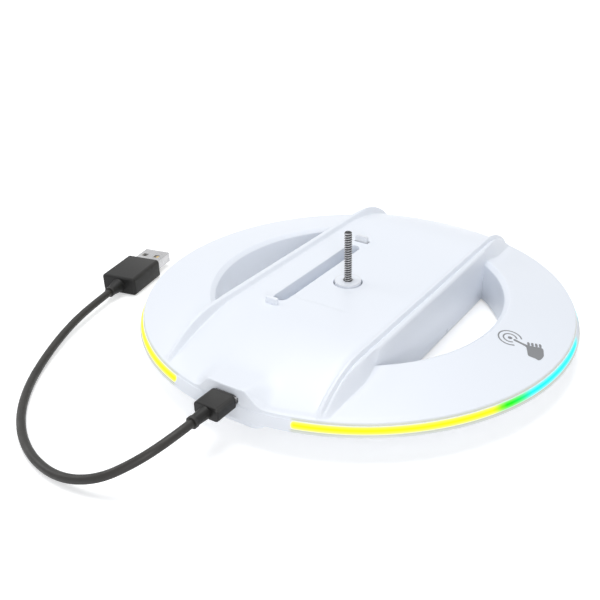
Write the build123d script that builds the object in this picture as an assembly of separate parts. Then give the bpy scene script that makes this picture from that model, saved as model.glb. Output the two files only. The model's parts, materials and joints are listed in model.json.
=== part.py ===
from build123d import *
import math
import os

os.makedirs("parts", exist_ok=True)

# Round vertical stand with a lit rim, for a game console. Millimetres, +Z up.
# The origin is on the floor at the disc's centre; -Y is the port end, +Y the back.

# ---- Disc -------------------------------------------------------------------
rim_radius = 85.0            # widest point, the lower edge of the rim
rim_lean = 2.0               # the rim's top edge stands this much further in
rim_low_z = 9.0
rim_height = 4.4
lip_radius = 57.9            # outer edge of the bevel round each opening
lip_bevel_width = 1.9
lip_bevel_drop = 1.2
lip_z = 17.9
wall = 2.0
foot_radius = 4.0
foot_height = 0.8
flat_radius = 66.0           # the underside is flat out to here, then slopes up to the rim

# ---- Bridge, ribs and slot ---------------------------------------------------
bridge_half_width = 33.8
deck_z = 23.0
deck_fall = 20.0             # the deck turns down to the rim over this length
deck_bend_radius = 80.0
shoulder_radius = 2.4
rib_offset = 30.5            # rib's middle, from the centre plane
rib_width = 2.6
rib_height = 1.5
rib_fall = 10.4              # the ribs turn down to the rim over this length
rib_bend_radius = 34.5
slot_x = -14.4
slot_width = 5.8
slot_front_y = -35.0
slot_back_y = 21.0
slot_depth = 9.0
slot_wall = 1.4
lug_width = 5.4
lug_thickness = 1.5
lug_height = 2.6
lug_gap = 3.0                # from the slot's end to the lug

# ---- Console screw and its boss ------------------------------------------------
screw_y = -9.0
screw_radius = 1.5
shank_radius = 1.2           # reduced shank below the deck, so that the screw stays captive
screw_above_deck = 20.5
screw_clearance = 0.4
collar_radius = 5.1
collar_proud = 0.85
collar_gap = 0.5
knob_radius = 6.0
knob_height = 3.0
knob_hole_radius = 5.0
knob_side_gap = 0.6
coin_slot_width = 1.6
coin_slot_depth = 1.5
washer_radius = 5.2
washer_height = 0.8
screw_float = 3.0            # free axial travel of the captive screw
rest_gap = 0.05
boss_wall = 1.8

# ---- Inner frame ------------------------------------------------------------------
frame_half_x = 27.0
frame_past_bend = 1.2        # the frame ends this far past the start of the deck's bend
frame_thickness = 2.2
frame_gap = 0.3
frame_post_radius = 3.2
frame_post_x = 22.0
frame_post_inset = 8.0       # from the frame's end in to its posts

# ---- Rim light ----------------------------------------------------------------------
edge_height = 0.95           # white edge under and over the light strip
light_gap_half = 22.7        # the strip stops this far from the centre plane at the port
diffuser_inset = 4.5          # from the rim's lower edge in to the diffuser's back
strip_inset = 6.0
strip_thickness = 0.8
strip_gap = 0.1
led_count = 30
led_width = 3.0
led_height = 1.6

# ---- Port, board and small parts -------------------------------------------------------
port_rise = 1.0               # from the rim's top edge up to the port's middle
hump_rise = 5.4
hump_top_half = 6.3
hump_foot_half = 15.5
hump_length = 39.0            # from the rim's lower edge back
bulge_half = 14.0
bulge_drop = 2.2              # below the rim's lower edge
bulge_inset = 1.0
bulge_depth = 10.0
port_shell_width = 9.0
port_shell_height = 3.22
port_shell_wall = 0.25
port_shell_length = 7.3
port_inset = 2.2
port_hole_gap = 0.3
tongue_width = 6.7
tongue_thickness = 0.7
tongue_length = 5.2
board_half_x = 14.0
board_reach = 37.0            # from the rim's lower edge back to the board's rear edge
board_neck_half = 8.5         # the board is this narrow under the hump
board_neck_inset = 11.0
board_thickness = 1.2
board_post_radius = 2.6
board_hole_radius = 1.1
board_post_x = 11.0
board_front_post_inset = 14.0
board_rear_post_inset = 5.0   # from the board's rear edge
wire_radius = 0.5
connector_rear_gap = 1.0      # from the board's rear edge to the wire connector
connector_depth = 4.5
connector_wall = 1.5
touch_angle = -4.7           # degrees from +X, where the touch mark is
touch_inset = 20.5            # from the rim's lower edge in to the mark
touch_pad_radius = 5.5
touch_pad_thickness = 0.4
case_screw_radius = 1.1
case_screw_length = 7.0
case_screw_head_radius = 2.2
case_screw_head = 1.2
case_post_radius = 2.8
case_post_offset = 3.1        # from the openings' lip out to the case screws
case_angles = (22, 52, 128, 158, 202, 232, 308, 338)

# ---- Cable --------------------------------------------------------------------------------
cord_diameter = 3.0
plug_c_shell_width = 8.34
plug_c_shell_height = 2.56
plug_c_shell_wall = 0.3
plug_c_shell_length = 6.65
plug_c_width = 9.8
plug_c_height = 5.2
plug_c_inset = 0.8
plug_c_length = 8.6
relief_c_radius = 2.2
relief_c_length = 6.5
plug_a_width = 15.8
plug_a_height = 8.0
plug_a_length = 20.0
plug_a_shell_width = 12.0
plug_a_shell_height = 4.5
plug_a_shell_length = 12.0
plug_a_shell_wall = 0.3
relief_a_radius = 3.0
relief_a_length = 7.0
# The cord lies on the floor beside the disc. The points are chosen by hand.
cord_points = [
    (0.0, -99.3, 14.4),
    (0.0, -109.3, 14.4),
    (-4.6, -118.8, 11.0),
    (-13.5, -125.5, 5.6),
    (-26.0, -128.5, 2.2),
    (-39.5, -127.0, 1.55),
    (-52.5, -121.5, 1.55),
    (-64.5, -112.5, 1.55),
    (-75.0, -100.5, 1.6),
    (-83.5, -86.5, 2.0),
    (-90.5, -71.0, 3.0),
    (-95.5, -55.0, 4.0),
    (-99.0, -39.0, 4.0),
]

# ---- Worked out from the values above ---------------------------------------------------------
rim_top_z = rim_low_z + rim_height
rim_top_radius = rim_radius - rim_lean
ring_slope = (lip_z - rim_top_z) / (rim_top_radius - lip_radius)
well_radius = lip_radius - lip_bevel_width
cavity_radius = rim_top_radius - wall
floor_low_z = foot_height
floor_top_z = foot_height + wall
under_slope = (rim_low_z - floor_low_z) / (rim_radius - flat_radius)
light_low_z = rim_low_z + edge_height
light_top_z = rim_top_z - edge_height
ramp_end_z = rim_top_z
deck_corner_y = rim_top_radius - deck_fall
rib_end_y = math.sqrt(rim_top_radius ** 2 - rib_offset ** 2)
ramp_angle = math.atan((deck_z - ramp_end_z) / deck_fall)
bend_start_y = deck_corner_y - deck_bend_radius * math.tan(ramp_angle / 2)
frame_half_y = bend_start_y + frame_past_bend
frame_post_y = frame_half_y - frame_post_inset
diffuser_inner_radius = rim_radius - diffuser_inset
strip_radius = rim_radius - strip_inset
port_z = rim_top_z + port_rise
hump_top_z = rim_top_z + hump_rise
hump_back_y = hump_length - rim_radius
bulge_low_z = rim_low_z - bulge_drop
bulge_front_y = bulge_inset - rim_radius
port_mouth_y = port_inset - rim_radius
plug_c_front_y = plug_c_inset - rim_radius
board_back_y = board_reach - rim_radius
board_neck_y = board_neck_inset - rim_radius
board_post_ys = (board_front_post_inset - rim_radius, board_back_y - board_rear_post_inset)
connector_back_y = board_back_y - connector_rear_gap
connector_wall_y = connector_back_y - connector_wall
touch_radius = rim_radius - touch_inset
case_circle = lip_radius + case_post_offset
deck_under_z = deck_z - wall
frame_top_z = deck_under_z - frame_gap
knob_low_z = floor_top_z + rest_gap
knob_top_z = knob_low_z + knob_height
washer_low_z = knob_top_z + rest_gap
pocket_top_z = washer_low_z + washer_height + screw_float + rest_gap
pocket_radius = knob_radius + knob_side_gap
screw_top_z = deck_z + screw_above_deck
thread_low_z = deck_z + collar_proud + 0.15
board_top_z = port_z - port_shell_height / 2
board_low_z = board_top_z - board_thickness
plug_in_z = board_top_z + 2.0
front_lug_y = slot_front_y - lug_gap
rear_lug_y = slot_back_y + lug_gap + 2.0
plug_c_rear_y = plug_c_front_y - plug_c_length
TALL = 60.0


def rim_r(z):
    """Radius of the leaning rim face at height z."""
    return rim_radius - (z - rim_low_z) * rim_lean / rim_height


def ring_z(r):
    """Height of the ring's sloping top face at radius r."""
    return rim_top_z + (rim_top_radius - r) * ring_slope


def under_z(r):
    """Height of the outside of the underside at radius r."""
    return floor_low_z + max(0.0, r - flat_radius) * under_slope


def turned(points):
    """Solid of revolution about Z from (radius, height) points."""
    profile = make_face(Polyline(*[(r, 0, z) for r, z in points], close=True))
    return revolve(profile, Axis.Z)


def cylinder_at(radius, x, y, low, high):
    return Pos(x, y, (low + high) / 2) * Cylinder(radius, high - low)


def box_between(x0, x1, y0, y1, z0, z1):
    return Pos((x0 + x1) / 2, (y0 + y1) / 2, (z0 + z1) / 2) * Box(x1 - x0, y1 - y0, z1 - z0)


def ring_between(inner, outer, low, high):
    return cylinder_at(outer, 0, 0, low, high) - cylinder_at(inner, 0, 0, low - 1, high + 1)


def stadium_along_y(width, height, front_y, back_y, z, corner=None):
    """Rounded flat bar along Y, from front_y to back_y, centred on X = 0."""
    radius = height / 2 - 0.01 if corner is None else corner
    section = Plane(origin=(0, front_y, z), z_dir=(0, 1, 0), x_dir=(1, 0, 0))
    return extrude(section * RectangleRounded(width, height, radius), back_y - front_y)


def polar(radius, degrees):
    angle = math.radians(degrees)
    return radius * math.cos(angle), radius * math.sin(angle)


def side_profile(inset):
    """Bridge outline in the YZ plane: level deck, bending down to the rim at each end."""
    reach = rim_radius + 2
    top = deck_z - inset
    end = ramp_end_z - inset
    bend = deck_corner_y + inset * 0.2
    slope_end = end - (reach - rim_top_radius) * (top - end) / (rim_top_radius - bend)
    crown = FilletPolyline(
        (0, -reach, slope_end),
        (0, -bend, top),
        (0, bend, top),
        (0, reach, slope_end),
        radius=deck_bend_radius,
    )
    base = Polyline((0, reach, slope_end), (0, reach, 0), (0, -reach, 0), (0, -reach, slope_end))
    return make_face(crown + base)


def hump(inset):
    """Raised housing over the port, falling away into the deck's ramp."""
    top = hump_top_z - inset
    low = rim_low_z
    section = Plane(origin=(0, -rim_radius - 2, 0), z_dir=(0, 1, 0), x_dir=(1, 0, 0))
    outline = FilletPolyline(
        (-hump_foot_half + inset, -low),
        (-hump_foot_half + inset, -rim_top_z + inset),
        (-hump_top_half + inset / 2, -top),
        (hump_top_half - inset / 2, -top),
        (hump_foot_half - inset, -rim_top_z + inset),
        (hump_foot_half - inset, -low),
        radius=[2.0, 2.5, 2.5, 2.0],
    )
    closing = Line((hump_foot_half - inset, -low), (-hump_foot_half + inset, -low))
    face = section * make_face(outline + closing)
    return extrude(face, hump_back_y + rim_radius + 2)


def wells(grow=0.0):
    """The two D-shaped through openings beside the bridge."""
    disc = cylinder_at(well_radius + grow, 0, 0, -5, TALL)
    half = bridge_half_width - grow
    return disc - box_between(-half, half, -rim_radius, rim_radius, -6, TALL + 1)


def envelope(inset):
    """Disc, bridge and hump as one closed body, with every face moved in by inset."""
    edge = rim_top_radius - inset
    low = floor_top_z if inset == 0 else floor_top_z - 1
    skirt_z = light_top_z if inset == 0 else low
    skirt_r = rim_r(light_top_z) if inset == 0 else edge
    points = [
        (0, low),
        (cavity_radius, low),
        (cavity_radius, skirt_z),
        (skirt_r, skirt_z),
        (edge, ring_z(edge) - inset),
        (lip_radius, lip_z - inset),
        (0, lip_z - inset),
    ]
    if inset:
        points = [points[0], points[1]] + points[4:]
    disc = turned(points)
    half = bridge_half_width - inset
    bridge = extrude(side_profile(inset), half, both=True)
    if not inset:
        along = bridge.edges().filter_by(lambda e: abs(abs(e.center().X) - half) < 0.01)
        along = along.filter_by(lambda e: e.center().Z > rim_top_z - 3)
        along = along.filter_by(lambda e: abs(e.center().Y) < rim_radius)
        bridge = fillet(along, shoulder_radius)
    raised = bridge + hump(inset)
    keep = cylinder_at(edge, 0, 0, light_top_z if inset == 0 else low, TALL)
    return disc + (raised & keep)


def rib_profile():
    """Rib outline in the YZ plane: level along the deck, then bending down to the rim's top edge."""
    crest = FilletPolyline(
        (0, -rib_end_y, ramp_end_z),
        (0, rib_fall - rib_end_y, deck_z + rib_height),
        (0, rib_end_y - rib_fall, deck_z + rib_height),
        (0, rib_end_y, ramp_end_z),
        radius=rib_bend_radius,
    )
    base = Polyline((0, rib_end_y, ramp_end_z), (0, rib_end_y, 0), (0, -rib_end_y, 0), (0, -rib_end_y, ramp_end_z))
    return make_face(crest + base)


def ribs():
    """Two rounded rails along the bridge's edges."""
    face = rib_profile()
    rails = Part()
    for side in (-1, 1):
        rail = Pos(side * rib_offset, 0, 0) * extrude(face, rib_width / 2, both=True)
        crest = rail.edges().filter_by(lambda e: e.center().Z > rim_top_z - 3)
        crest = crest.filter_by(lambda e: abs(e.center().Y) < rim_radius)
        crest = crest.filter_by(lambda e: abs(abs(e.center().X) - rib_offset) > 1)
        rails += fillet(crest, rib_width * 0.45)
    return rails & cylinder_at(rim_top_radius, 0, 0, light_top_z, TALL)


def slot_shape(grow, low, high):
    length = slot_back_y - slot_front_y + 2 * grow
    middle = (slot_back_y + slot_front_y) / 2
    shape = SlotOverall(length, slot_width + 2 * grow, rotation=90)
    return extrude(Pos(slot_x, middle, low) * shape, high - low)


def lug(y, low, high):
    plate = Pos(slot_x, y, (low + high) / 2) * Box(lug_width, lug_thickness, high - low)
    corners = plate.edges().filter_by(Axis.Y).sort_by(Axis.Z)[-2:]
    return fillet(corners, 1.0)


def case_screw_places():
    return [polar(case_circle, angle) for angle in case_angles]


def port_fascia():
    """Part of the rim that carries the port, where the light strip stops."""
    half = light_gap_half - 0.2
    band = turned([
        (cavity_radius, light_low_z),
        (rim_r(light_low_z), light_low_z),
        (rim_r(light_top_z), light_top_z),
        (cavity_radius, light_top_z),
    ])
    return band & box_between(-half, half, -rim_radius - 1, 0, 0, TALL)


def top_cover():
    body = envelope(0) - (envelope(wall) - wells(wall))
    body -= ring_between(strip_radius - 0.6, rim_radius + 1, 0, light_top_z)
    body += port_fascia()
    body += ribs() - cylinder_at(rim_radius, 0, 0, 0, lip_z - wall)
    body += lug(front_lug_y, deck_under_z, deck_z + lug_height)
    body += slot_shape(slot_wall, deck_z - slot_depth - slot_wall, deck_z - 0.5)
    for x, y in case_screw_places():
        body += cylinder_at(case_post_radius, x, y, floor_top_z, ring_z(case_circle) - 0.8)
    lip_cone = turned([
        (0, lip_z - lip_bevel_drop),
        (well_radius, lip_z - lip_bevel_drop),
        (lip_radius + 0.02, lip_z + 0.01),
        (0, lip_z + 0.01),
    ])
    outside = bridge_half_width
    lip_cone -= box_between(-outside, outside, -rim_radius, rim_radius, 0, TALL)
    body -= lip_cone
    body -= wells()
    body -= slot_shape(0, deck_z - slot_depth, TALL)
    body -= cylinder_at(collar_radius + collar_gap, 0, screw_y, deck_under_z - 1, TALL)
    window = box_between(
        slot_x - lug_width / 2 - collar_gap,
        slot_x + lug_width / 2 + collar_gap,
        rear_lug_y - lug_thickness / 2 - collar_gap,
        rear_lug_y + lug_thickness / 2 + collar_gap,
        deck_under_z - 1,
        TALL,
    )
    body -= window
    mouth = stadium_along_y(
        port_shell_width + 2 * port_hole_gap,
        port_shell_height + 2 * port_hole_gap,
        -rim_radius - 3,
        -cavity_radius + 4,
        port_z,
    )
    body -= mouth
    for x, y in case_screw_places():
        body -= cylinder_at(case_screw_radius, x, y, 0, floor_top_z + case_screw_length)
    return body


def bottom_cover():
    ledge = strip_radius - 0.4
    inner_flat = flat_radius - 0.8
    shell = turned([
        (0, floor_low_z),
        (flat_radius, floor_low_z),
        (rim_radius, rim_low_z),
        (rim_r(light_low_z), light_low_z),
        (ledge, light_low_z),
        (ledge, floor_top_z + (ledge - inner_flat) * under_slope),
        (inner_flat, floor_top_z),
        (0, floor_top_z),
    ])
    inside = turned([
        (0, floor_low_z),
        (flat_radius, floor_low_z),
        (cavity_radius, under_z(cavity_radius)),
        (cavity_radius, TALL),
        (0, TALL),
    ])
    bulge_back_y = bulge_front_y + bulge_depth
    bulge = box_between(-bulge_half, bulge_half, bulge_front_y, bulge_back_y, bulge_low_z, light_low_z)
    shell += fillet(bulge.edges().filter_by(Axis.Z).sort_by(Axis.Y)[:2], 4.0)
    for y in board_post_ys:
        for side in (-1, 1):
            shell += cylinder_at(board_post_radius, side * board_post_x, y, floor_low_z, board_low_z) & inside
    shell -= wells()
    shell -= cylinder_at(knob_hole_radius, 0, screw_y, -1, TALL)
    for x, y in case_screw_places():
        shell -= cylinder_at(case_screw_radius + 0.2, x, y, -1, TALL)
        shell -= cylinder_at(case_screw_head_radius + 0.2, x, y, -1, floor_low_z + case_screw_head)
    for y in board_post_ys:
        for side in (-1, 1):
            shell -= cylinder_at(board_hole_radius, side * board_post_x, y, board_low_z - 5, TALL)
    for sx in (-1, 1):
        for sy in (-1, 1):
            place = (sx * frame_post_x, sy * frame_post_y)
            shell -= cylinder_at(case_screw_radius + 0.2, *place, -1, TALL)
            shell -= cylinder_at(case_screw_head_radius + 0.2, *place, -1, floor_low_z + case_screw_head)
    return shell


def inner_frame():
    plate = box_between(
        -frame_half_x, frame_half_x, -frame_half_y, frame_half_y, frame_top_z - frame_thickness, frame_top_z
    )
    plate = fillet(plate.edges().filter_by(Axis.Z), 5)
    plate -= slot_shape(slot_wall + 0.4, 0, TALL)
    for y in (-30, 12, 33):
        plate -= extrude(Pos(14, y, 0) * RectangleRounded(14, 12, 2), TALL)
    frame = plate
    frame += cylinder_at(collar_radius, 0, screw_y, frame_top_z - 0.5, deck_z + collar_proud)
    frame += cylinder_at(pocket_radius + boss_wall, 0, screw_y, floor_top_z, frame_top_z)
    frame += lug(rear_lug_y, frame_top_z - 0.5, deck_z + lug_height)
    frame += box_between(
        slot_x - lug_width / 2 - 2, slot_x + lug_width / 2 + 2,
        rear_lug_y - 2, rear_lug_y + 3, frame_top_z - frame_thickness, frame_top_z,
    )
    for sx in (-1, 1):
        for sy in (-1, 1):
            place = (sx * frame_post_x, sy * frame_post_y)
            frame += cylinder_at(frame_post_radius, *place, floor_top_z, frame_top_z)
    frame -= slot_shape(slot_wall + 0.4, 0, TALL)
    frame -= cylinder_at(screw_radius + screw_clearance, 0, screw_y, 0, TALL)
    frame -= cylinder_at(pocket_radius, 0, screw_y, 0, pocket_top_z)
    for sx in (-1, 1):
        for sy in (-1, 1):
            frame -= cylinder_at(
                case_screw_radius, sx * frame_post_x, sy * frame_post_y, 0, floor_top_z + case_screw_length
            )
    return frame


def light_gap(half):
    """Space at the port end where the light ring is cut away."""
    return box_between(-half, half, -rim_radius - 2, -flat_radius + 20, 0, TALL)


def light_diffuser():
    band = turned([
        (diffuser_inner_radius, light_low_z),
        (rim_r(light_low_z), light_low_z),
        (rim_r(light_top_z), light_top_z),
        (diffuser_inner_radius, light_top_z),
    ])
    return band - light_gap(light_gap_half)


def led_strip_board():
    band = ring_between(strip_radius, strip_radius + strip_thickness, light_low_z, light_top_z - strip_gap)
    return band - light_gap(light_gap_half)


def leds():
    outer = strip_radius + strip_thickness
    depth = diffuser_inner_radius - outer - strip_gap
    gap_angle = math.degrees(math.asin(light_gap_half / strip_radius))
    first = -90 + gap_angle + 3
    step = (360 - 2 * gap_angle - 6) / (led_count - 1)
    middle_z = (light_low_z + light_top_z) / 2
    packages = []
    for index in range(led_count):
        package = Pos(outer - 0.1 + depth / 2, 0, middle_z) * Box(depth - 0.05, led_width, led_height)
        packages.append(Rot(0, 0, first + index * step) * package)
    face_gap = strip_radius + strip_thickness
    return Part() + [p - cylinder_at(face_gap, 0, 0, 0, TALL) for p in packages]


def main_circuit_board():
    board = box_between(
        -board_half_x, board_half_x, -rim_radius, board_back_y, board_low_z, board_top_z
    ) & cylinder_at(cavity_radius - 0.4, 0, 0, 0, TALL)
    for side in (-1, 1):
        edge = sorted((side * board_neck_half, side * (board_half_x + 1)))
        board -= box_between(*edge, -rim_radius, board_neck_y, 0, TALL)
    for y in board_post_ys:
        for side in (-1, 1):
            board -= cylinder_at(board_hole_radius + 0.1, side * board_post_x, y, 0, TALL)
    return board


def controller_chip():
    return box_between(-3.5, 3.5, board_back_y - 18, board_back_y - 11, board_top_z, board_top_z + 0.9)


def board_components():
    """Capacitors, resistors and a coil soldered to the board."""
    sizes = [
        (-8.5, -16.0, 1.6, 0.8, 0.7),
        (-8.5, -13.0, 1.6, 0.8, 0.7),
        (7.5, -16.5, 1.6, 0.8, 0.7),
        (7.5, -13.5, 1.6, 0.8, 0.7),
        (6.5, -9.5, 3.2, 2.6, 1.6),
        (-7.0, -9.5, 3.0, 1.5, 1.2),
        (0.0, -21.5, 2.0, 1.2, 0.6),
    ]
    made = Part()
    for x, back, width, depth, height in sizes:
        y = board_back_y + back
        made += box_between(
            x - width / 2, x + width / 2, y - depth / 2, y + depth / 2, board_top_z, board_top_z + height
        )
    return made


def wire_connector():
    front_y = connector_back_y - connector_depth
    housing = box_between(-5.0, 5.0, front_y, connector_back_y, board_top_z, board_top_z + 4.0)
    return housing - box_between(
        -4.4, 4.4, connector_wall_y, connector_back_y + 1, board_top_z + 0.8, board_top_z + 3.2
    )


def usb_port_shell():
    back_y = port_mouth_y + port_shell_length
    shell = stadium_along_y(port_shell_width, port_shell_height, port_mouth_y, back_y, port_z)
    inner = stadium_along_y(
        port_shell_width - 2 * port_shell_wall,
        port_shell_height - 2 * port_shell_wall,
        port_mouth_y - 1,
        back_y - 0.5,
        port_z,
    )
    return shell - inner


def usb_port_tongue():
    root_y = port_mouth_y + port_shell_length - 0.5
    return box_between(
        -tongue_width / 2, tongue_width / 2, root_y - tongue_length, root_y,
        port_z - tongue_thickness / 2, port_z + tongue_thickness / 2,
    )


def touch_sensor_pad():
    under = ring_z(touch_radius) - wall - 0.1
    tilt = math.degrees(math.atan(ring_slope))
    pad = Rot(0, tilt, 0) * Cylinder(touch_pad_radius, touch_pad_thickness)
    return Rot(0, 0, touch_angle) * Pos(touch_radius, 0, under - touch_pad_thickness) * pad


def wire(points, radius, section_radius):
    path = FilletPolyline(*points, radius=radius)
    start = Plane(origin=path @ 0, z_dir=path % 0)
    return sweep(start * Circle(section_radius), path=path)


def touch_sensor_wire():
    x, y = polar(touch_radius, touch_angle - 4.2)
    z = ring_z(touch_radius) - wall - 2 * touch_pad_thickness - wire_radius - 0.15
    return wire(
        [(x, y, z), (touch_radius - 6.0, board_back_y + 16.0, z - 1.5),
         (touch_radius - 19.5, board_back_y - 4.0, floor_top_z + 7.2), (22.0, board_back_y - 8.0, plug_in_z - 0.8),
         (9.0, board_back_y + 3.0, plug_in_z), (3.0, board_back_y + 2.5, plug_in_z), (3.0, connector_wall_y, plug_in_z)],
        [14.0, 14.0, 8.0, 2.0, 1.2],
        wire_radius,
    )


def led_wires():
    start_angle = -90 - math.degrees(math.asin((light_gap_half + 2.5) / strip_radius))
    wires = Part()
    for shift in (0.0, 1.7):
        x, y = polar(strip_radius - wire_radius - 0.1, start_angle - shift)
        across = -3.6 + shift
        wires += wire(
            [(x, y, rim_low_z + 2.2), (-24.0 - shift, board_back_y - 12.0, plug_in_z - 1.8),
             (-13.0, board_back_y + 2.0 + shift, plug_in_z), (across, board_back_y + 2.0 + shift, plug_in_z),
             (across, connector_wall_y, plug_in_z)],
            [6.0, 4.0, 1.2],
            wire_radius,
        )
    return wires


def rubber_feet():
    pads = Part()
    for x, y in case_screw_places():
        pad = cylinder_at(foot_radius, x, y, 0, foot_height)
        pads += fillet(pad.edges().sort_by(Axis.Z)[0], 0.3)
    return pads


def driven_screw(x, y, low, length):
    head = cylinder_at(case_screw_head_radius, x, y, low, low + case_screw_head)
    head -= Pos(x, y, low + 0.3) * Box(2.6, 0.7, 0.7)
    head -= Pos(x, y, low + 0.3) * Box(0.7, 2.6, 0.7)
    head_top = low + case_screw_head
    return head + cylinder_at(case_screw_radius, x, y, head_top - 0.1, head_top + length)


def case_screws():
    length = floor_top_z + case_screw_length - floor_low_z - case_screw_head - 0.5
    return Part() + [driven_screw(x, y, floor_low_z, length) for x, y in case_screw_places()]


def frame_screws():
    length = floor_top_z + case_screw_length - floor_low_z - case_screw_head - 0.5
    places = [(sx * frame_post_x, sy * frame_post_y) for sx in (-1, 1) for sy in (-1, 1)]
    return Part() + [driven_screw(x, y, floor_low_z, length) for x, y in places]


def board_screws():
    made = Part()
    for y in board_post_ys:
        for side in (-1, 1):
            x = side * board_post_x
            made += cylinder_at(1.9, x, y, board_top_z, board_top_z + 1.2)
            made += cylinder_at(board_hole_radius, x, y, board_top_z - 5, board_top_z + 0.1)
    return made


def console_screw():
    thread = cylinder_at(screw_radius, 0, screw_y, thread_low_z, screw_top_z)
    thread = chamfer(thread.edges().sort_by(Axis.Z)[-1], 0.3)
    return thread + cylinder_at(shank_radius, 0, screw_y, knob_low_z + coin_slot_depth, thread_low_z)


def screw_knob():
    knob = cylinder_at(knob_radius, 0, screw_y, knob_low_z, knob_top_z)
    knob = chamfer(knob.edges(), 0.3)
    knob -= Pos(0, screw_y, knob_low_z) * Box(2 * knob_radius + 1, coin_slot_width, 2 * coin_slot_depth)
    for index in range(18):
        x, y = polar(knob_radius + 0.15, index * 20)
        knob -= cylinder_at(0.4, x, screw_y + y, 0, TALL)
    return knob - cylinder_at(shank_radius, 0, screw_y, knob_low_z + coin_slot_depth - 1, TALL)


def screw_washer():
    washer = cylinder_at(washer_radius, 0, screw_y, washer_low_z, washer_low_z + washer_height)
    return washer - cylinder_at(shank_radius + 0.08, 0, screw_y, 0, TALL)


def usb_c_plug_shell():
    back = plug_c_front_y
    tip = back + plug_c_shell_length
    shell = stadium_along_y(plug_c_shell_width, plug_c_shell_height, back, tip, port_z)
    return shell - stadium_along_y(
        plug_c_shell_width - 2 * plug_c_shell_wall, plug_c_shell_height - 2 * plug_c_shell_wall,
        back + 0.5, tip + 1, port_z,
    )


def usb_c_plug_body():
    body = stadium_along_y(plug_c_width, plug_c_height, plug_c_rear_y, plug_c_front_y, port_z, corner=1.6)
    return fillet(body.faces().sort_by(Axis.Y)[0].edges(), 0.5)


def taper(low_radius, high_radius, length):
    """Tapered sleeve along -Y from the origin, with a small ring at its thin end."""
    cone = Rot(90, 0, 0) * Pos(0, 0, length / 2) * Cone(low_radius, high_radius, length)
    ring = Rot(90, 0, 0) * Pos(0, 0, length - 0.6) * Cylinder(high_radius + 0.35, 1.2)
    return cone + ring


def usb_c_strain_relief():
    sleeve = taper(relief_c_radius, cord_diameter / 2 + 0.3, relief_c_length)
    return Pos(0, plug_c_rear_y, port_z) * sleeve


def cord_radii(points):
    """Largest arc that fits each corner of the cord's route."""
    radii = []
    for before, here, after in zip(points, points[1:], points[2:]):
        first = Vector(here) - Vector(before)
        second = Vector(after) - Vector(here)
        turn = math.radians(first.get_angle(second))
        shorter = min(first.length, second.length)
        radii.append(0.45 * shorter / math.tan(turn / 2))
    return radii


def usb_cord():
    radii = cord_radii(cord_points)
    path = FilletPolyline(*cord_points, radius=radii)
    start = Plane(origin=path @ 0, z_dir=path % 0)
    tube = sweep(start * Circle(cord_diameter / 2), path=path)
    section = math.pi * (cord_diameter / 2) ** 2
    print("cord radii", [round(r, 1) for r in radii])
    ratio = tube.volume / (section * path.length)
    print("cord length", round(path.length, 1), "volume ratio", round(ratio, 4))
    return tube


def plug_a_location():
    """Places the large plug, built along +Y from the origin, at the cord's far end."""
    end = Vector(cord_points[-1])
    run = end - Vector(cord_points[-2])
    heading = math.degrees(math.atan2(-run.X, run.Y))
    return Pos(end.X, end.Y, plug_a_height / 2) * Rot(0, 0, heading)


def usb_a_strain_relief():
    sleeve = taper(relief_a_radius, cord_diameter / 2 + 0.3, relief_a_length)
    return plug_a_location() * Pos(0, relief_a_length, 0) * sleeve


def usb_a_plug_body():
    front = relief_a_length + plug_a_length
    body = stadium_along_y(plug_a_width, plug_a_height, relief_a_length, front, 0, 1.4)
    body = fillet(body.faces().sort_by(Axis.Y)[0].edges(), 1.0)
    return plug_a_location() * body


def usb_a_plug_shell():
    front = relief_a_length + plug_a_length
    mouth = front + plug_a_shell_length
    shell = stadium_along_y(plug_a_shell_width, plug_a_shell_height, front, mouth, 0, 0.5)
    shell -= stadium_along_y(
        plug_a_shell_width - 2 * plug_a_shell_wall, plug_a_shell_height - 2 * plug_a_shell_wall,
        front + 0.5, mouth + 1, 0, 0.3,
    )
    for side in (-1, 1):
        shell -= Pos(side * 2.9, front + 6.3, 0) * Box(2.3, 2.3, plug_a_height)
    return plug_a_location() * shell


def usb_a_insulator():
    front = relief_a_length + plug_a_length
    low = -plug_a_shell_height / 2 + plug_a_shell_wall
    half = plug_a_shell_width / 2 - plug_a_shell_wall - 0.35
    tongue = box_between(-half, half, front + 0.5, front + plug_a_shell_length - 0.3, low, low + 1.9)
    return plug_a_location() * tongue


def usb_a_contacts():
    front = relief_a_length + plug_a_length
    tip = front + plug_a_shell_length - 1.2
    top = -plug_a_shell_height / 2 + plug_a_shell_wall + 1.9
    strips = Part()
    for x in (-3.5, -1.0, 1.0, 3.5):
        strips += box_between(x - 0.5, x + 0.5, front + 3.0, tip, top, top + 0.15)
    return plug_a_location() * strips


PARTS = [
    top_cover,
    bottom_cover,
    inner_frame,
    light_diffuser,
    led_strip_board,
    leds,
    main_circuit_board,
    controller_chip,
    board_components,
    wire_connector,
    usb_port_shell,
    usb_port_tongue,
    touch_sensor_pad,
    touch_sensor_wire,
    led_wires,
    rubber_feet,
    case_screws,
    frame_screws,
    board_screws,
    console_screw,
    screw_knob,
    screw_washer,
    usb_c_plug_shell,
    usb_c_plug_body,
    usb_c_strain_relief,
    usb_cord,
    usb_a_strain_relief,
    usb_a_plug_body,
    usb_a_plug_shell,
    usb_a_insulator,
    usb_a_contacts,
]

for make in PARTS:
    export_step(make(), f"parts/{make.__name__}.step")
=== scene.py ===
import json
import math

import bmesh
import bpy
import numpy as np
from mathutils import Matrix, Vector


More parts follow.
